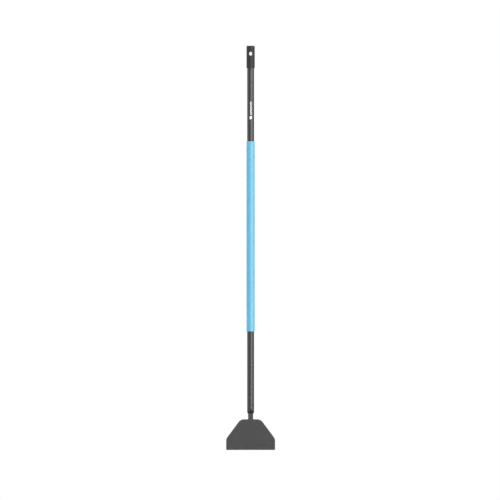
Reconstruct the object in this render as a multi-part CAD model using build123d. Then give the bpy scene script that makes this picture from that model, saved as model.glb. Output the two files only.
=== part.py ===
"""Straight garden hoe: a flat plate blade on a steel tube handle with a plastic sleeve and an end cap.

Units are millimetres. +Z runs up the handle, X is across the blade and -Y is the front.
The origin is on the handle's axis, at the middle of the cutting edge.
Each function makes one sub-part in its assembled place, and each sub-part is written to its own STEP file.
"""

from build123d import *
from math import cos, radians, sqrt, tan
import os

# --- Blade plate, with the tang that goes up into the handle ---
BLADE_WIDTH = 180.0
BLADE_HEIGHT = 113.0
BLADE_SIDE_HEIGHT = 41.5
BLADE_TOP_WIDTH = 73.6
BLADE_CORNER_RADIUS = 25.0
PLATE_THICKNESS = 5.0
PLATE_EDGE_ROUND = 0.6
TANG_WIDTH = 18.4
TANG_TOP = 232.0
TANG_ROOT_RADIUS = 3.0
TANG_END_CHAMFER = 3.0
BEVEL_HEIGHT = 10.0
CUTTING_LAND = 1.0

# --- Handle tube, pressed flat at its lower end where the tang enters ---
TUBE_RADIUS = 12.7
TUBE_WALL = 1.5
TUBE_BOTTOM = 134.0
TUBE_TOP = 1440.0
TUBE_RIM_CHAMFER = 0.4
PRESS_ANGLE = 36.0
PRESS_ROUND = 20.0
PINCH_ANGLE = 24.0
PINCH_ROUND = 20.0
PRESS_MARGIN = 0.05

# --- Half-round shells that fill the tube around the tang ---
SHELL_BOTTOM = 138.0
SHELL_TOP = 236.0
FIT_GAP = 0.05

# --- Blind rivets, set from the rear ---
RIVET_HEIGHTS = (178.0, 214.0)
RIVET_RADIUS = 2.4
RIVET_HEAD_RADIUS = 4.75
RIVET_HEAD_HEIGHT = 1.4
RIVET_HEAD_ROUND = 1.0
BULB_RADIUS = 3.9
BULB_LENGTH = 4.5
BULB_COLLAR = 0.4
POCKET_RADIUS = 4.6
POCKET_DEPTH = 6.8
MANDREL_RADIUS = 1.35
MANDREL_HEAD_RADIUS = 2.3
MANDREL_HEAD_LENGTH = 1.8
MANDREL_TIP_RADIUS = 1.4
MANDREL_RECESS = 0.5

# --- Plastic sleeve over the middle of the tube ---
SLEEVE_RADIUS = 15.0
SLEEVE_BOTTOM = 436.0
SLEEVE_LENGTH = 700.0
SLEEVE_END_ROUND = 1.0
SLEEVE_BORE_CHAMFER = 0.4

# --- End cap with its hanging hole ---
CAP_RADIUS = 15.1
CAP_BOTTOM = 1405.6
CAP_TOP = 1488.0
CAP_DOME = 0.5
CAP_TOP_ROUND = 3.2
CAP_RIM_ROUND = 1.2
CAP_WALL = 3.7
CAP_ROOF = 4.0
HOLE_WIDTH = 10.4
HOLE_LENGTH = 13.4
HOLE_HEIGHT = 1458.3
HOLE_BOSS_WALL = 2.8
HOLE_EDGE_ROUND = 0.6
SEAM_PROUD = 0.12
SEAM_WIDTH = 0.5
SEAM_TOP = CAP_TOP - CAP_DOME - CAP_TOP_ROUND

# --- Countersunk self-tapping screw through the rear of the cap's skirt ---
SCREW_HEIGHT = 1415.0
SCREW_HEAD_RADIUS = 3.4
SCREW_HEAD_RIM = 0.3
SCREW_RADIUS = 1.7
SCREW_ROOT_RADIUS = 1.3
SCREW_LENGTH = 9.5
SCREW_TIP_LENGTH = 2.4
THREAD_PITCH = 1.2
THREAD_CREST = 0.5
THREAD_ROOT = 1.0
SCREW_NECK = 0.4
RECESS_LENGTH = 3.4
RECESS_WIDTH = 0.8
RECESS_DEPTH = 1.2

# --- Printed mark on the tube: a plain scale of ticks above a plain block ---
PRINT_THICKNESS = 0.08
TICK_COUNT = 19
TICK_PITCH = 2.6
TICK_HEIGHT = 1.6
TICK_WIDTH = 5.6
LONG_TICK_WIDTH = 7.2
LONG_TICK_EVERY = 3
FIRST_TICK = 1234.1
TICKS_LEFT = -2.1
BLOCK_WIDTH = 8.9
BLOCK_BOTTOM = 1217.1
BLOCK_HEIGHT = 11.7
BLOCK_ROUND = 2.5
BLOCK_OFFSET = 0.45

# --- Building aids: a reach right through the tool, a cutter's overrun, and a gap that counts as none ---
FAR = 60.0
OVERRUN = 1.0
SAME = 0.001


def span(radius, bottom, top):
    """A solid round bar on the handle's axis, from one height to another."""
    return Pos(0, 0, bottom) * Cylinder(
        radius, top - bottom, align=(Align.CENTER, Align.CENTER, Align.MIN)
    )


def ring(inner_radius, outer_radius, bottom, top):
    """A solid tube on the handle's axis, from one height to another."""
    return span(outer_radius, bottom, top) - span(inner_radius, bottom, top)


def to_rear(shape, height):
    """Turns a shape made along +Z so that it points to the rear, and lifts it to a height on the axis."""
    return Pos(0, 0, height) * Rot(X=-90) * shape


def turned(points):
    """A solid turned about its own Z axis from (radius, height) points."""
    face = make_face(Plane.XZ * Polyline(*points, close=True))
    return revolve(face, Axis.Z)


def corners_at(sketch, *places):
    """The vertices of a flat sketch that lie at the given (x, y) places."""
    return [
        vertex
        for vertex in sketch.vertices()
        if any(abs(vertex.X - x) + abs(vertex.Y - y) < SAME for x, y in places)
    ]


def plate_outline():
    """The blade's front view with its tang, as a flat sketch in local X and Y."""
    half, top_half = BLADE_WIDTH / 2, BLADE_TOP_WIDTH / 2
    shoulders = [(-half, BLADE_SIDE_HEIGHT), (half, BLADE_SIDE_HEIGHT)]
    top_corners = [(-top_half, BLADE_HEIGHT), (top_half, BLADE_HEIGHT)]
    body = make_face(
        Polyline(
            (-half, 0), shoulders[0], top_corners[0], top_corners[1], shoulders[1], (half, 0),
            close=True,
        )
    )
    body = fillet(corners_at(body, *shoulders, *top_corners), BLADE_CORNER_RADIUS)
    tang_half, overlap = TANG_WIDTH / 2, BLADE_SIDE_HEIGHT
    tang_length = TANG_TOP - overlap
    tang = Pos(0, overlap + tang_length / 2) * Rectangle(TANG_WIDTH, tang_length)
    tang = chamfer(corners_at(tang, (-tang_half, TANG_TOP), (tang_half, TANG_TOP)), TANG_END_CHAMFER)
    whole = (body + tang).clean()
    roots = corners_at(whole, (-tang_half, BLADE_HEIGHT), (tang_half, BLADE_HEIGHT))
    return fillet(roots, TANG_ROOT_RADIUS)


def blade():
    """The hoe plate: flat in front, with its outline rounded over and one bevel ground on the rear."""
    plate = extrude(Plane.XZ * plate_outline(), PLATE_THICKNESS / 2, both=True)
    faces = [plate.faces().sort_by(Axis.Y)[0], plate.faces().sort_by(Axis.Y)[-1]]
    rounded = [edge for face in faces for edge in face.edges() if edge.center().Z > SAME]
    plate = fillet(rounded, PLATE_EDGE_ROUND)
    rear = PLATE_THICKNESS / 2
    land = CUTTING_LAND - rear
    slope = (rear - land) / BEVEL_HEIGHT
    run = slope * OVERRUN
    ground = make_face(
        Plane.YZ
        * Polyline(
            (land - run, -OVERRUN), (rear + run, BEVEL_HEIGHT + OVERRUN), (rear + run, -OVERRUN),
            close=True,
        )
    )
    plate -= extrude(ground, BLADE_WIDTH, both=True)
    for height in RIVET_HEIGHTS:
        plate -= to_rear(Cylinder(RIVET_RADIUS + FIT_GAP, FAR), height)
    return plate


def pressed_profile(flat_half, angle, rounding, inset, top):
    """Half of a profile that leans out from the tube's mouth and then runs straight up, moved in by inset.

    It is a closed face in local X and Y, symmetric about X = 0.
    """
    mouth = flat_half + TUBE_WALL - inset / cos(radians(angle))
    side = TUBE_RADIUS + PRESS_MARGIN - inset
    bend = TUBE_BOTTOM + (side - mouth) / tan(radians(angle))
    face = make_face(
        Polyline(
            (-mouth, TUBE_BOTTOM), (-side, bend), (-side, top),
            (side, top), (side, bend), (mouth, TUBE_BOTTOM),
            close=True,
        )
    )
    return fillet(corners_at(face, (-side, bend), (side, bend)), rounding - inset)


def tube_form(inset, top=TUBE_TOP):
    """The tube's outer form, or the same form moved in by inset: round, and pressed flat around the tang."""
    front_and_rear = Plane.YZ * pressed_profile(PLATE_THICKNESS / 2, PRESS_ANGLE, PRESS_ROUND, inset, top)
    sides = Plane.XZ * pressed_profile(TANG_WIDTH / 2, PINCH_ANGLE, PINCH_ROUND, inset, top)
    form = span(TUBE_RADIUS - inset, TUBE_BOTTOM, top)
    form &= extrude(front_and_rear, FAR, both=True)
    form &= extrude(sides, FAR, both=True)
    return form


def tang_slot(gap):
    """The space that the tang takes up inside the handle, with a gap all round."""
    height = TANG_TOP + gap - TUBE_BOTTOM + OVERRUN
    return Pos(0, 0, TUBE_BOTTOM - OVERRUN) * Box(
        TANG_WIDTH + 2 * gap, PLATE_THICKNESS + 2 * gap, height,
        align=(Align.CENTER, Align.CENTER, Align.MIN),
    )


def handle_tube():
    """The steel tube, in one length from the tang to inside the end cap."""
    tube = tube_form(0) - tube_form(TUBE_WALL, TUBE_TOP + OVERRUN) - tang_slot(FIT_GAP)
    rim = [edge for edge in tube.edges() if edge.center().Z > TUBE_TOP - SAME]
    tube = chamfer(rim, TUBE_RIM_CHAMFER)
    rear_wall = Cylinder(
        RIVET_RADIUS + FIT_GAP, FAR, align=(Align.CENTER, Align.CENTER, Align.MIN)
    )
    for height in RIVET_HEIGHTS:
        tube -= to_rear(rear_wall, height)
    pilot = Cylinder(SCREW_RADIUS + FIT_GAP, FAR, align=(Align.CENTER, Align.CENTER, Align.MIN))
    return tube - to_rear(pilot, SCREW_HEIGHT)


def tang_shell(side):
    """One half-round shell beside the tang: side is -1 for the front one and 1 for the rear one."""
    form = tube_form(TUBE_WALL + FIT_GAP, SHELL_TOP)
    half_space = Pos(0, side * (FIT_GAP + FAR / 2), (SHELL_BOTTOM + SHELL_TOP) / 2) * Box(
        FAR, FAR, SHELL_TOP - SHELL_BOTTOM
    )
    return (form & half_space) - tang_slot(FIT_GAP)


def front_tang_shell():
    """The front shell, with a blind pocket around the set end of each rivet."""
    shell = tang_shell(-1)
    pocket = Cylinder(POCKET_RADIUS, POCKET_DEPTH, align=(Align.CENTER, Align.CENTER, Align.MAX))
    for height in RIVET_HEIGHTS:
        shell -= Pos(0, -PLATE_THICKNESS / 2, 0) * to_rear(pocket, height)
    return shell


def rear_tang_shell():
    """The rear shell, with a clear hole for each rivet's shank."""
    shell = tang_shell(1)
    for height in RIVET_HEIGHTS:
        shell -= to_rear(Cylinder(RIVET_RADIUS + FIT_GAP, FAR), height)
    return shell


def rivet_body():
    """A set blind rivet's body along +Z: domed head at the tube's skin and a bulb beyond the tang."""
    tang_face = -PLATE_THICKNESS / 2
    bulb_end = tang_face - BULB_LENGTH
    head_base = TUBE_RADIUS - TUBE_WALL
    head_top = TUBE_RADIUS + RIVET_HEAD_HEIGHT
    body = turned(
        [
            (0, bulb_end),
            (MANDREL_HEAD_RADIUS, bulb_end),
            (BULB_RADIUS, bulb_end + BULB_LENGTH / 2),
            (RIVET_RADIUS + BULB_COLLAR, tang_face - FIT_GAP),
            (RIVET_RADIUS, tang_face - FIT_GAP),
            (RIVET_RADIUS, head_base),
            (RIVET_HEAD_RADIUS, head_base),
            (RIVET_HEAD_RADIUS, head_top),
            (0, head_top),
        ]
    )
    rim = body.edges().filter_by(GeomType.CIRCLE).sort_by(Axis.Z)[-1]
    body = fillet(rim, RIVET_HEAD_ROUND)
    return body - span(MANDREL_RADIUS, bulb_end - OVERRUN, head_top + OVERRUN)


def rivet_bodies():
    """Both rivet bodies, with their heads seated on the tube's round skin."""
    skin = ring(TUBE_RADIUS - TUBE_WALL, TUBE_RADIUS, TUBE_BOTTOM, TUBE_TOP)
    shank = Cylinder(RIVET_RADIUS, FAR)
    placed = []
    for height in RIVET_HEIGHTS:
        seat = skin - to_rear(shank, height)
        body = to_rear(rivet_body(), height) - seat
        placed.append(max(body.solids(), key=lambda solid: solid.volume))
    return placed


def rivet_mandrels():
    """The broken-off pins left inside both rivets."""
    bulb_end = -PLATE_THICKNESS / 2 - BULB_LENGTH
    pin_top = TUBE_RADIUS + RIVET_HEAD_HEIGHT - MANDREL_RECESS
    head_low = bulb_end - MANDREL_HEAD_LENGTH
    pin = turned(
        [
            (0, head_low),
            (MANDREL_TIP_RADIUS, head_low),
            (MANDREL_HEAD_RADIUS, head_low + MANDREL_HEAD_LENGTH / 2),
            (MANDREL_HEAD_RADIUS, bulb_end),
            (MANDREL_RADIUS, bulb_end),
            (MANDREL_RADIUS, pin_top),
            (0, pin_top),
        ]
    )
    return [to_rear(pin, height) for height in RIVET_HEIGHTS]


def handle_sleeve():
    """The plastic sleeve over the middle of the tube."""
    top = SLEEVE_BOTTOM + SLEEVE_LENGTH
    sleeve = span(SLEEVE_RADIUS, SLEEVE_BOTTOM, top)
    ends = sleeve.edges().filter_by(GeomType.CIRCLE)
    sleeve = fillet(ends, SLEEVE_END_ROUND)
    bore_radius = TUBE_RADIUS + FIT_GAP
    sleeve -= span(bore_radius, SLEEVE_BOTTOM - OVERRUN, top + OVERRUN)
    circles = sleeve.edges().filter_by(GeomType.CIRCLE)
    mouths = [edge for edge in circles if edge.radius < bore_radius + SAME]
    return chamfer(mouths, SLEEVE_BORE_CHAMFER)


def screw_seat_height():
    """How far behind the axis the screw's flat head lies, so that its rim is level with the cap's skin."""
    return sqrt(CAP_RADIUS**2 - SCREW_HEAD_RADIUS**2)


def screw_form(gap):
    """The screw's plain outer form along +Z, enlarged by gap. It also cuts the screw's seat."""
    head = screw_seat_height()
    cone = head - SCREW_HEAD_RIM - (SCREW_HEAD_RADIUS - SCREW_RADIUS)
    above = head + (FAR if gap else 0)
    return turned(
        [
            (0, head - SCREW_LENGTH),
            (SCREW_RADIUS + gap, head - SCREW_LENGTH),
            (SCREW_RADIUS + gap, cone - gap),
            (SCREW_HEAD_RADIUS + gap, head - SCREW_HEAD_RIM - gap),
            (SCREW_HEAD_RADIUS + gap, above),
            (0, above),
        ]
    )


def cap_screw():
    """The countersunk screw, with ring threads, a tapered tip and a cross recess."""
    head = screw_seat_height()
    cone = head - SCREW_HEAD_RIM - (SCREW_HEAD_RADIUS - SCREW_RADIUS)
    tip = head - SCREW_LENGTH
    outline = [(0, tip), (SCREW_ROOT_RADIUS, tip + SCREW_TIP_LENGTH)]
    turns = int((cone - SCREW_NECK - tip - SCREW_TIP_LENGTH) / THREAD_PITCH)
    for turn in range(turns):
        low = tip + SCREW_TIP_LENGTH + turn * THREAD_PITCH
        outline += [(SCREW_RADIUS, low + THREAD_CREST), (SCREW_ROOT_RADIUS, low + THREAD_ROOT)]
    outline += [
        (SCREW_ROOT_RADIUS, cone - SCREW_NECK),
        (SCREW_RADIUS, cone),
        (SCREW_HEAD_RADIUS, head - SCREW_HEAD_RIM),
        (SCREW_HEAD_RADIUS, head),
        (0, head),
    ]
    screw = turned(outline)
    for spin in (0, 90):
        slot = Box(RECESS_LENGTH, RECESS_WIDTH, RECESS_DEPTH, align=(Align.CENTER, Align.CENTER, Align.MAX))
        screw -= Pos(0, 0, head + SAME) * Rot(Z=spin) * slot
    return to_rear(screw, SCREW_HEIGHT)


def hole_form(wall=0):
    """The hanging hole as a bar from front to rear, taller than wide with round ends, enlarged by wall."""
    outline = Rot(Z=90) * SlotOverall(HOLE_LENGTH + 2 * wall, HOLE_WIDTH + 2 * wall)
    return Pos(0, 0, HOLE_HEIGHT) * extrude(Plane.XZ * outline, FAR, both=True)


def end_cap():
    """The moulded cap: a cup on the tube, with a boss round the hanging hole and a seam down each side.

    The hollow goes on past the boss as a pocket on each side of it, and the cap is solid above the boss.
    """
    outer = turned(
        [
            (0, CAP_BOTTOM),
            (CAP_RADIUS, CAP_BOTTOM),
            (CAP_RADIUS, CAP_TOP - CAP_DOME),
            (0, CAP_TOP),
        ]
    )
    circles = outer.edges().filter_by(GeomType.CIRCLE).sort_by(Axis.Z)
    outer = fillet(circles[-1], CAP_TOP_ROUND)
    low_rim = outer.edges().filter_by(GeomType.CIRCLE).sort_by(Axis.Z)[0]
    outer = fillet(low_rim, CAP_RIM_ROUND)
    outer -= hole_form()
    mouths = [
        edge
        for edge in outer.edges()
        if abs(edge.center().Z - HOLE_HEIGHT) < HOLE_LENGTH and abs(edge.center().Y) > CAP_RADIUS / 2
    ]
    outer = fillet(mouths, HOLE_EDGE_ROUND)
    seams = ring(CAP_RADIUS - CAP_WALL / 2, CAP_RADIUS + SEAM_PROUD, CAP_BOTTOM + CAP_RIM_ROUND, SEAM_TOP)
    seams &= Pos(0, 0, (CAP_BOTTOM + CAP_TOP) / 2) * Box(FAR, SEAM_WIDTH, CAP_TOP - CAP_BOTTOM)
    hollow = span(TUBE_RADIUS + FIT_GAP, CAP_BOTTOM - OVERRUN, TUBE_TOP)
    hollow += span(CAP_RADIUS - CAP_WALL, TUBE_TOP - OVERRUN, CAP_TOP - CAP_ROOF)
    boss = hole_form(HOLE_BOSS_WALL)
    boss += Pos(0, 0, HOLE_HEIGHT) * Box(
        HOLE_WIDTH + 2 * HOLE_BOSS_WALL, FAR, CAP_TOP - HOLE_HEIGHT,
        align=(Align.CENTER, Align.CENTER, Align.MIN),
    )
    cap = (outer + seams) - (hollow - boss)
    return cap - to_rear(screw_form(FIT_GAP), SCREW_HEIGHT)


def printed_mark():
    """White ink on the tube's front: a scale of short and long ticks, and one plain block under it."""
    bottom, top = BLOCK_BOTTOM - OVERRUN, FIRST_TICK + TICK_COUNT * TICK_PITCH
    film = ring(TUBE_RADIUS, TUBE_RADIUS + PRINT_THICKNESS, bottom, top)
    shapes = []
    for tick in range(TICK_COUNT):
        width = LONG_TICK_WIDTH if tick % LONG_TICK_EVERY == 0 else TICK_WIDTH
        middle = FIRST_TICK + tick * TICK_PITCH
        shapes.append(Pos(TICKS_LEFT + width / 2, middle) * Rectangle(width, TICK_HEIGHT))
    block_middle = BLOCK_BOTTOM + BLOCK_HEIGHT / 2
    shapes.append(Pos(BLOCK_OFFSET, block_middle) * RectangleRounded(BLOCK_WIDTH, BLOCK_HEIGHT, BLOCK_ROUND))
    return [film & extrude(Plane.XZ * shape, FAR) for shape in shapes]


SUB_PARTS = {
    "blade": blade,
    "handle_tube": handle_tube,
    "front_tang_shell": front_tang_shell,
    "rear_tang_shell": rear_tang_shell,
    "rivet_bodies": rivet_bodies,
    "rivet_mandrels": rivet_mandrels,
    "handle_sleeve": handle_sleeve,
    "end_cap": end_cap,
    "cap_screw": cap_screw,
    "printed_mark": printed_mark,
}


def main():
    """Builds every sub-part and writes it to parts/NAME.step."""
    os.makedirs("parts", exist_ok=True)
    for name, make in SUB_PARTS.items():
        made = make()
        pieces = made if isinstance(made, list) else [made]
        solids = [solid for piece in pieces for solid in piece.solids()]
        export_step(solids[0] if len(solids) == 1 else Compound(children=solids), f"parts/{name}.step")


main()
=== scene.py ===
"""Looks for the straight garden hoe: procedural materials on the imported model, a pale floor and studio light.

Everything is in metres in the model's own frame: +Z goes up the handle, -Y is the front, and the origin is at
the cutting edge. Materials work in millimetres, from the object's own coordinates.
"""

from math import radians

import bpy
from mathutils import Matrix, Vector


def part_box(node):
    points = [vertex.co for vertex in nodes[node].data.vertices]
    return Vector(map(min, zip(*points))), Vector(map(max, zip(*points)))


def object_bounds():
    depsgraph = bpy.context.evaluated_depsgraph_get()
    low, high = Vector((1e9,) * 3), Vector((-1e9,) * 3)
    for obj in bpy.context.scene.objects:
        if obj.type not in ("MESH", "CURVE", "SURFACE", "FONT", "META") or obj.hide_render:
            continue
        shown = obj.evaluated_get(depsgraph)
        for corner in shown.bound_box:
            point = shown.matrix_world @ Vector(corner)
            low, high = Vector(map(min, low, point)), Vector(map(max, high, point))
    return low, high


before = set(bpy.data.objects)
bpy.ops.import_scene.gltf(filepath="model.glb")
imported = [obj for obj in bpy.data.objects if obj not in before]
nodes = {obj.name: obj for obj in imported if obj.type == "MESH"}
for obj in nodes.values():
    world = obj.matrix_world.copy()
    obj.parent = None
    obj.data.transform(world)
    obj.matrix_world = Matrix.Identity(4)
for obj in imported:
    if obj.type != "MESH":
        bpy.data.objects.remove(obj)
cad_low, cad_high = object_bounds()

MM_PER_METRE = 1000.0
FULL_TURN = 360.0

# --- Camera: level, square on to the front, with no perspective. A tilt of 0 degrees looks straight down ---
VIEW_WIDTH = 1.84
CAMERA_DISTANCE = 6.0
CAMERA_SIDE_STEP = -0.0023
CAMERA_HEIGHT = 0.736
CAMERA_TILT = 90.0

# --- Light: a ring of panels round the horizon, and above it a sky that is brighter behind the tool ---
# The camera sees a white backdrop in their place. All angles are in degrees. Azimuth 0 is the camera's side,
# and + is to its right. The ring gives way to the sky at RING_TOP, over RING_EDGE above it and below it.
BACKDROP = 1.0
SKY_FRONT = 1.0
SKY_REAR = 2.6
REAR_START = 100.0
REAR_FULL = 140.0
RING_TOP = 22.0
RING_EDGE = 6.0

# Each stop is (azimuth, brightness), from the middle of the rear round to it again.
RING = (
    (-180, 0.05),
    (-128, 0.05),
    (-116, 3.8),
    (-100, 3.1),
    (-80, 2.7),
    (-68, 2.7),
    (-60, 0.9),
    (-25, 0.9),
    (-18, 2.4),
    (5, 2.4),
    (11, 9.0),
    (60, 8.5),
    (68, 4.2),
    (75, 3.6),
    (83, 0.7),
    (130, 0.4),
    (140, 0.05),
    (180, 0.05),
)

# --- Floor: FLOOR_SEEN is for the camera, and FLOOR_GREY for the light that it throws back at the tool ---
FLOOR_SIZE = 120.0
FLOOR_DROP = 0.0005
FLOOR_GREY = 0.36
FLOOR_SEEN = 0.71

# --- Wear and painted shade, in millimetres and degrees. Hands hold the sleeve at the shares of its length in HOLDS ---
WORN_HEIGHT = 65.0
WORN_MOST = 5.0
NECK_HEIGHT = 118.0
LIP_HEIGHT = 1.4
LIP_BARE = 0.2
SCRATCH_LEAN = 24.0
SCUFF_LEAN = 12.0
PRESSED_LENGTH = 20.0
CAP_RIM_RADIUS = 13.6
CAP_RIM_DROP = 1.5
HOLDS = (0.26, 0.8)
HOLD_REACH = 140.0
# The next two set how far below a metal part's rear face the painted shade begins and where it is full.
PAINTED_SHADE_START = 0.2
PAINTED_SHADE_DEPTH = 1.0

# --- Roughness of marked surfaces. Tool marks vary a metal's own roughness, and dullness adds to it ---
SCUFFED_ROUGHNESS = 0.5
HELD_ROUGHNESS = 0.40
RUBBED_ROUGHNESS = 0.38
MARKS_VARY = 0.06
DULL_ADDS = 0.2
# The next one is how far the painted shade in the tube's pressed end moves its enamel towards scuffed
# roughness.
PAINTED_SHADE_DULLS = 0.5
SPOTS_DULL = 0.6

# --- Noise seldom leaves this span, although it may be anything from 0 to 1 ---
NOISE_LOW = 0.3
NOISE_HIGH = 0.7


def grey(level):
    """A neutral colour."""
    return (level, level, level, 1.0)


# --- Colours, in linear light. A pair is the darker and the lighter tone that a surface drifts between ---
POWDER_COAT = grey(0.018), grey(0.021)
COAT_SPECK = grey(0.075)
COAT_SCRATCH = grey(0.09)
GROUND_STEEL = grey(0.34), grey(0.52)
STEEL_GROOVE = grey(0.24)
ENAMEL = grey(0.021), grey(0.024)
# The next tone is painted shade, darkening the enamel in the creases of the pressed end.
ENAMEL_PAINTED_SHADE = grey(0.012)
ENAMEL_SCUFF = grey(0.06)
SLEEVE_BLUE = (0.107, 0.420, 0.605, 1), (0.113, 0.436, 0.627, 1)
HELD_BLUE = (0.080, 0.350, 0.500, 1)
SCUFFED_BLUE = (0.300, 0.560, 0.700, 1)
CAP_GREY = grey(0.020), grey(0.024)
CAP_RUBBED = grey(0.032)
INK_WHITE = grey(0.70), grey(0.78)
INK_PINHOLE = grey(0.05)
NYLON = grey(0.012), grey(0.020)
RIVET_METAL = grey(0.55), grey(0.72)
PIN_STEEL = grey(0.26), grey(0.40)
SCREW_STEEL = (0.48, 0.50, 0.53, 1), (0.62, 0.64, 0.67, 1)
# The next tone is painted shade, darkening metal parts where they are sunk below their rear face.
METAL_PAINTED_SHADE = grey(0.04)


def heights(name):
    """The lowest and highest point of a CAD node, in millimetres."""
    return [corner.z * MM_PER_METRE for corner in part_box(name)]


class Graph:
    """A node tree with short calls for the nodes that the materials and the studio share."""

    def __init__(self, tree):
        self.tree = tree

    def add(self, kind, **settings):
        """A new node with these properties."""
        node = self.tree.nodes.new(kind)
        for key, value in settings.items():
            setattr(node, key, value)
        return node

    def feed(self, socket, value):
        """Links a socket to another node's output, or gives it a plain value."""
        if isinstance(value, bpy.types.NodeSocket):
            self.tree.links.new(value, socket)
        else:
            socket.default_value = value

    def math(self, operation, *values):
        """One sum on numbers or outputs."""
        node = self.add("ShaderNodeMath", operation=operation)
        for socket, value in zip(node.inputs, values):
            self.feed(socket, value)
        return node.outputs[0]

    def axes(self, vector):
        """The X, Y and Z of a vector."""
        node = self.add("ShaderNodeSeparateXYZ")
        self.feed(node.inputs[0], vector)
        return node.outputs

    def step(self, value, start, end):
        """0 at start, 1 at end and a smooth change between them, whichever of the two is larger."""
        node = self.add("ShaderNodeMapRange", interpolation_type="SMOOTHSTEP")
        rising = start < end
        self.feed(node.inputs["Value"], value)
        self.feed(node.inputs["From Min"], min(start, end))
        self.feed(node.inputs["From Max"], max(start, end))
        self.feed(node.inputs["To Min"], 0.0 if rising else 1.0)
        self.feed(node.inputs["To Max"], 1.0 if rising else 0.0)
        return node.outputs[0]

    def blend(self, factor, first, second):
        """A blend of two numbers."""
        node = self.add("ShaderNodeMix", data_type="FLOAT")
        self.feed(node.inputs["Factor"], factor)
        self.feed(node.inputs["A"], first)
        self.feed(node.inputs["B"], second)
        return node.outputs["Result"]


class Finish(Graph):
    """A new material on its own Principled shader. Lengths are in millimetres."""

    def __init__(self, name):
        self.material = bpy.data.materials.new(name)
        self.material.use_nodes = True
        super().__init__(self.material.node_tree)
        self.surface = self.tree.nodes["Principled BSDF"]
        source = self.add("ShaderNodeTexCoord")
        self.place = self.scaled(source.outputs["Object"], (MM_PER_METRE,) * 3)
        self.facing = source.outputs["Normal"]

    def scaled(self, vector, factors):
        """A vector times a factor along each axis."""
        node = self.add("ShaderNodeVectorMath", operation="MULTIPLY")
        self.feed(node.inputs[0], vector)
        self.feed(node.inputs[1], factors)
        return node.outputs[0]

    def turned(self, degrees):
        """The place, turned about the axis that points out of the blade's face."""
        node = self.add("ShaderNodeVectorRotate", rotation_type="Y_AXIS")
        self.feed(node.inputs["Vector"], self.place)
        self.feed(node.inputs["Angle"], radians(degrees))
        return node.outputs[0]

    def noise(self, size, detail=2.0, stretch=1, place=None):
        """Smooth noise about 0.5, with features about size across and stretch times as long along Z."""
        across = 1 / size
        along = 1 / (size * stretch)
        node = self.add("ShaderNodeTexNoise")
        self.feed(node.inputs["Vector"], self.scaled(place or self.place, (across, across, along)))
        self.feed(node.inputs["Scale"], 1.0)
        self.feed(node.inputs["Detail"], detail)
        return node.outputs["Fac"]

    def grains(self, size):
        """How far a point is from the middle of its random cell. Cells are about size across."""
        node = self.add("ShaderNodeTexVoronoi")
        self.feed(node.inputs["Vector"], self.scaled(self.place, (1 / size,) * 3))
        self.feed(node.inputs["Scale"], 1.0)
        return node.outputs["Distance"]

    def spread(self, noise, low, high):
        """Spreads the usual span of a noise over low to high."""
        node = self.add("ShaderNodeMapRange")
        self.feed(node.inputs["Value"], noise)
        self.feed(node.inputs["From Min"], NOISE_LOW)
        self.feed(node.inputs["From Max"], NOISE_HIGH)
        self.feed(node.inputs["To Min"], low)
        self.feed(node.inputs["To Max"], high)
        return node.outputs[0]

    def patches(self, size, start, end, **noise):
        """A mask of random patches about size across. The further start and end are above 0.5, the fewer."""
        return self.step(self.noise(size, **noise), start, end)

    def near(self, value, middle, reach):
        """A mask that is 1 where the value is at the middle, and falls to 0 at a reach to either side."""
        away = self.math("ABSOLUTE", self.math("SUBTRACT", value, middle))
        return self.step(away, reach, 0.0)

    def both(self, *masks):
        """Masks times each other."""
        product = masks[0]
        for mask in masks[1:]:
            product = self.math("MULTIPLY", product, mask)
        return product

    def mix(self, factor, first, second):
        """A blend of two colours."""
        node = self.add("ShaderNodeMix", data_type="RGBA")
        self.feed(node.inputs["Factor"], factor)
        self.feed(node.inputs["A"], first)
        self.feed(node.inputs["B"], second)
        return node.outputs["Result"]

    def drift(self, noise, tones):
        """A colour that drifts between a pair of tones with a noise."""
        return self.mix(self.spread(noise, low=0.0, high=1.0), *tones)

    def tint(self, colour, mark, mask, strength):
        """A colour with the mark's colour over it in the mask, at a strength from 0 to 1."""
        return self.mix(self.both(mask, strength), colour, mark)

    def relief(self, *layers):
        """Bumps on top of each other. A layer is a height, and how many millimetres a height of 1 is."""
        normal = None
        for height, depth in layers:
            node = self.add("ShaderNodeBump")
            self.feed(node.inputs["Height"], height)
            self.feed(node.inputs["Distance"], depth / MM_PER_METRE)
            if normal is not None:
                self.feed(node.inputs["Normal"], normal)
            normal = node.outputs["Normal"]
        return normal

    def finish(self, **sockets):
        """Sets the surface's sockets, by name with spaces as underscores, and returns the material."""
        for name, value in sockets.items():
            self.feed(self.surface.inputs[name.replace("_", " ")], value)
        return self.material


def use(material, *names):
    """Gives CAD nodes this material."""
    for name in names:
        mesh = nodes[name].data
        mesh.materials.clear()
        mesh.materials.append(material)


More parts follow.
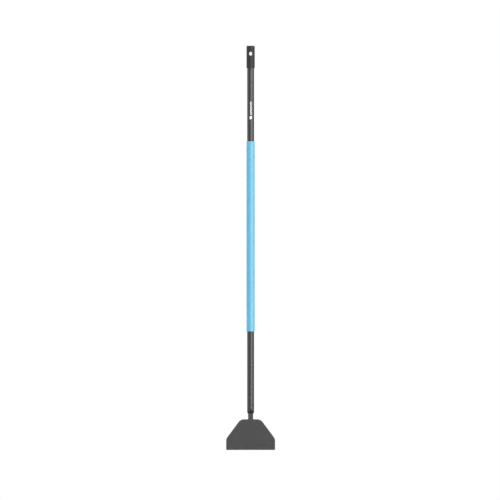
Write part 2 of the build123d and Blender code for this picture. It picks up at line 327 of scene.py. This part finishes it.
def blade_paint():
    """Satin powder coat with orange peel, rubbed through on the rims, and ground steel on the bevel."""
    coat = Finish("blade_paint")
    _, facing_y, facing_z = coat.axes(coat.facing)
    _, _, height = coat.axes(coat.place)
    peel = coat.noise(size=1.6)
    grain = coat.noise(size=0.28, detail=1.0)
    cloud = coat.noise(size=55.0, detail=3.0)
    paint = coat.drift(cloud, POWDER_COAT)
    specks = coat.step(coat.grains(size=7.0), start=0.09, end=0.03)
    paint = coat.tint(paint, COAT_SPECK, specks, strength=0.35)
    scratches = coat.both(
        coat.patches(size=0.5, start=0.69, end=0.74, stretch=60, place=coat.turned(SCRATCH_LEAN)),
        coat.step(height, start=WORN_HEIGHT, end=WORN_MOST),
        coat.patches(size=18.0, start=0.5, end=0.62),
    )
    paint = coat.tint(paint, COAT_SCRATCH, scratches, strength=0.5)

    # Only the ground bevel and the edge face down, and only the rounded rims face between Y and the sides.
    ground = coat.step(facing_z, start=-0.12, end=-0.2)
    rubbed = coat.both(
        coat.near(coat.math("ABSOLUTE", facing_y), middle=0.62, reach=0.34),
        coat.patches(size=6.0, start=0.52, end=0.6, detail=6.0),
        coat.step(height, start=NECK_HEIGHT, end=WORN_HEIGHT),
    )
    lip = coat.both(
        coat.step(height, start=LIP_HEIGHT, end=LIP_BARE),
        coat.patches(size=3.0, start=0.44, end=0.56, detail=5.0),
    )
    bare = coat.math("MAXIMUM", ground, coat.math("MAXIMUM", rubbed, lip))

    lines = coat.noise(size=0.16, detail=3.0, stretch=90)
    grooves = coat.noise(size=0.8, stretch=60)
    steel = coat.drift(lines, GROUND_STEEL)
    steel = coat.mix(coat.spread(grooves, low=0.0, high=0.5), steel, STEEL_GROOVE)
    steel_roughness = coat.math(
        "ADD",
        coat.spread(lines, low=0.13, high=0.19),
        coat.spread(grooves, low=0.13, high=0.21),
    )
    return coat.finish(
        Base_Color=coat.mix(bare, paint, steel),
        Metallic=bare,
        Roughness=coat.blend(bare, coat.spread(cloud, low=0.38, high=0.45), steel_roughness),
        Normal=coat.relief(
            (peel, 0.06),
            (grain, 0.008),
            (coat.both(lines, ground), 0.02),
            (coat.both(grooves, ground), 0.03),
            (bare, -0.06),
        ),
    )


def tube_paint():
    """Glossy dark grey enamel on drawn steel tube, scuffed a little, with painted shade darkening the pressed
    end.
    """
    coat = Finish("tube_paint")
    _, _, height = coat.axes(coat.place)
    mouth, _ = heights("handle_tube")
    peel = coat.noise(size=2.4)
    drawn = coat.noise(size=0.7, stretch=90)
    cloud = coat.noise(size=70.0, detail=3.0)
    enamel = coat.drift(cloud, ENAMEL)
    # Painted shade: the enamel darkens towards the pressed end, where its creases lie in shade, and is duller
    # there.
    pressed = coat.step(height, start=mouth + PRESSED_LENGTH, end=mouth + PRESSED_LENGTH / 2)
    painted_shade = coat.both(pressed, coat.spread(coat.noise(size=2.0, detail=4.0), low=0.4, high=1.0))
    enamel = coat.tint(enamel, ENAMEL_PAINTED_SHADE, painted_shade, strength=0.3)
    scuffs = coat.both(
        coat.patches(size=0.35, start=0.70, end=0.75, stretch=40),
        coat.patches(size=30.0, start=0.52, end=0.6),
    )
    enamel = coat.tint(enamel, ENAMEL_SCUFF, scuffs, strength=0.4)
    dull = coat.math("MAXIMUM", scuffs, coat.both(painted_shade, PAINTED_SHADE_DULLS))
    return coat.finish(
        Base_Color=enamel,
        Roughness=coat.blend(dull, coat.spread(cloud, low=0.20, high=0.25), SCUFFED_ROUGHNESS),
        Normal=coat.relief((peel, 0.025), (drawn, 0.006)),
    )


def sleeve_plastic():
    """Sky-blue extruded plastic with fine die lines along it, and duller where hands hold it."""
    skin = Finish("sleeve_plastic")
    _, _, height = skin.axes(skin.place)
    low, high = heights("handle_sleeve")
    lines = skin.noise(size=0.45, detail=3.0, stretch=400)
    ripple = skin.noise(size=1.4)
    mottle = skin.noise(size=9.0, detail=4.0)
    cloud = skin.noise(size=60.0, detail=3.0)
    colour = skin.drift(cloud, SLEEVE_BLUE)
    holds = [skin.near(height, low + share * (high - low), HOLD_REACH) for share in HOLDS]
    worn = skin.both(skin.math("MAXIMUM", *holds), skin.spread(mottle, low=0.2, high=1.0))
    colour = skin.tint(colour, HELD_BLUE, worn, strength=0.10)
    scuffs = skin.both(
        skin.patches(size=0.3, start=0.70, end=0.76, stretch=30, place=skin.turned(SCUFF_LEAN)),
        skin.patches(size=25.0, start=0.52, end=0.62),
    )
    colour = skin.tint(colour, SCUFFED_BLUE, scuffs, strength=0.25)
    roughness = skin.blend(worn, skin.spread(mottle, low=0.27, high=0.33), HELD_ROUGHNESS)
    return skin.finish(
        Base_Color=colour,
        Roughness=skin.blend(scuffs, roughness, SCUFFED_ROUGHNESS),
        Normal=skin.relief((lines, 0.035), (ripple, 0.014)),
    )


def cap_plastic():
    """Dark moulded plastic with a fine eroded grain, rubbed smoother on its rims."""
    skin = Finish("cap_plastic")
    x, y, height = skin.axes(skin.place)
    low, high = heights("end_cap")
    radius = skin.math("SQRT", skin.math("ADD", skin.math("MULTIPLY", x, x), skin.math("MULTIPLY", y, y)))
    pits = skin.step(skin.grains(size=0.55), start=0.0, end=0.55)
    grain = skin.noise(size=0.4, detail=3.0)
    cloud = skin.noise(size=16.0, detail=3.0)
    top_rim = skin.both(
        skin.near(radius, CAP_RIM_RADIUS, reach=1.8),
        skin.near(height, high - CAP_RIM_DROP, reach=3.0),
    )
    rims = skin.math("MAXIMUM", top_rim, skin.near(height, low, reach=1.6))
    rubbed = skin.both(rims, skin.patches(size=2.5, start=0.42, end=0.62, detail=5.0))
    return skin.finish(
        Base_Color=skin.tint(skin.drift(cloud, CAP_GREY), CAP_RUBBED, rubbed, strength=0.4),
        Roughness=skin.blend(rubbed, skin.spread(grain, low=0.46, high=0.56), RUBBED_ROUGHNESS),
        Normal=skin.relief((pits, 0.035), (grain, 0.025)),
        Specular_IOR_Level=0.3,
    )


def print_ink():
    """White screen ink with a few pinholes."""
    ink = Finish("white_print")
    film = ink.noise(size=0.3)
    pinholes = ink.both(
        ink.step(ink.grains(size=0.5), start=0.16, end=0.08),
        ink.patches(size=2.0, start=0.5, end=0.56),
    )
    return ink.finish(
        Base_Color=ink.tint(ink.drift(film, INK_WHITE), INK_PINHOLE, pinholes, strength=0.8),
        Roughness=ink.spread(film, low=0.4, high=0.5),
        Normal=ink.relief((film, 0.01)),
    )


def metal(name, node, tones, roughness):
    """A bare metal with tool marks and a few dull spots, and painted shade where it is sunk below its rear
    face.
    """
    bare = Finish(name)
    _, depth, _ = bare.axes(bare.place)
    _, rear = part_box(node)
    rear_face = rear.y * MM_PER_METRE
    dark, _ = tones
    marks = bare.noise(size=0.12, detail=3.0)
    spots = bare.patches(size=1.2, start=0.52, end=0.72, detail=4.0)
    # Painted shade: darker and duller where the surface is sunk below the rear face, as in a recess.
    painted_shade = bare.step(depth, start=rear_face - PAINTED_SHADE_START, end=rear_face - PAINTED_SHADE_DEPTH)
    colour = bare.tint(bare.drift(marks, tones), dark, spots, strength=0.25)
    dull = bare.math("MAXIMUM", bare.both(spots, SPOTS_DULL), painted_shade)
    marked = bare.spread(marks, low=roughness - MARKS_VARY, high=roughness + MARKS_VARY)
    return bare.finish(
        Base_Color=bare.tint(colour, METAL_PAINTED_SHADE, painted_shade, strength=0.75),
        Metallic=1.0,
        Roughness=bare.blend(dull, marked, roughness + DULL_ADDS),
        Normal=bare.relief((marks, 0.012)),
    )


def filler_nylon():
    """Dark moulded nylon."""
    nylon = Finish("filler_nylon")
    grain = nylon.noise(size=0.6)
    return nylon.finish(
        Base_Color=nylon.mix(grain, *NYLON),
        Roughness=nylon.spread(grain, low=0.5, high=0.65),
        Normal=nylon.relief((grain, 0.02)),
    )


def ring_of_panels(graph, azimuth):
    """The brightness of the ring at an azimuth.

    A colour ramp holds it as shares of the brightest panel, with -180 degrees at 0 and 180 degrees at 1.
    """
    brightest = max(brightness for _, brightness in RING)
    ramp = graph.add("ShaderNodeValToRGB")
    graph.feed(ramp.inputs[0], graph.math("MULTIPLY_ADD", azimuth, 1 / FULL_TURN, 0.5))
    stops = ramp.color_ramp.elements
    for degrees, _ in RING[1:-1]:
        stops.new(degrees / FULL_TURN + 0.5)
    for stop, (_, brightness) in zip(stops, RING):
        stop.color = grey(brightness / brightest)
    return graph.math("MULTIPLY", ramp.outputs["Color"], brightest)


def studio():
    """The studio round the tool: a white backdrop for the camera, and the ring and the sky as its light."""
    world = bpy.data.worlds.new("studio")
    bpy.context.scene.world = world
    world.use_nodes = True
    world.node_tree.nodes.clear()
    graph = Graph(world.node_tree)
    x, y, z = graph.axes(graph.add("ShaderNodeTexCoord").outputs["Generated"])
    azimuth = graph.math("DEGREES", graph.math("ARCTAN2", x, graph.math("MULTIPLY", y, -1.0)))
    elevation = graph.math("DEGREES", graph.math("ARCSINE", z))

    behind = graph.step(graph.math("ABSOLUTE", azimuth), REAR_START, REAR_FULL)
    sky = graph.blend(behind, SKY_FRONT, SKY_REAR)
    above = graph.step(elevation, RING_TOP - RING_EDGE, RING_TOP + RING_EDGE)
    room = graph.add("ShaderNodeBackground")
    graph.feed(room.inputs["Strength"], graph.blend(above, ring_of_panels(graph, azimuth), sky))
    backdrop = graph.add("ShaderNodeBackground")
    graph.feed(backdrop.inputs["Color"], grey(BACKDROP))

    choice = graph.add("ShaderNodeMixShader")
    graph.feed(choice.inputs[0], graph.add("ShaderNodeLightPath").outputs["Is Camera Ray"])
    graph.feed(choice.inputs[1], room.outputs[0])
    graph.feed(choice.inputs[2], backdrop.outputs[0])
    graph.feed(graph.add("ShaderNodeOutputWorld").inputs["Surface"], choice.outputs[0])


def floor():
    """A plain pale floor under the cutting edge."""
    bpy.ops.mesh.primitive_plane_add(size=FLOOR_SIZE, location=(0, 0, cad_low.z - FLOOR_DROP))
    ground = bpy.context.object
    ground.name = "floor"
    pale = Finish("floor")
    seen = pale.add("ShaderNodeLightPath").outputs["Is Camera Ray"]
    tone = pale.mix(seen, grey(FLOOR_GREY), grey(FLOOR_SEEN))
    ground.data.materials.append(pale.finish(Base_Color=tone, Roughness=0.9))


def camera():
    """A level camera in front, with no perspective."""
    data = bpy.data.cameras.new("camera")
    data.type = "ORTHO"
    data.ortho_scale = VIEW_WIDTH
    seer = bpy.data.objects.new("camera", data)
    seer.location = (CAMERA_SIDE_STEP, -CAMERA_DISTANCE, CAMERA_HEIGHT)
    seer.rotation_euler = (radians(CAMERA_TILT), 0, 0)
    bpy.context.scene.collection.objects.link(seer)
    bpy.context.scene.camera = seer


use(blade_paint(), "blade")
use(tube_paint(), "handle_tube")
use(sleeve_plastic(), "handle_sleeve")
use(cap_plastic(), "end_cap")
use(print_ink(), "printed_mark")
for node, name, tones, roughness in (
    ("rivet_bodies", "rivet_metal", RIVET_METAL, 0.28),
    ("rivet_mandrels", "pin_steel", PIN_STEEL, 0.42),
    ("cap_screw", "screw_steel", SCREW_STEEL, 0.30),
):
    use(metal(name, node, tones, roughness), node)
use(filler_nylon(), "front_tang_shell", "rear_tang_shell")
studio()
floor()
camera()
bpy.context.scene.view_settings.view_transform = "Standard"
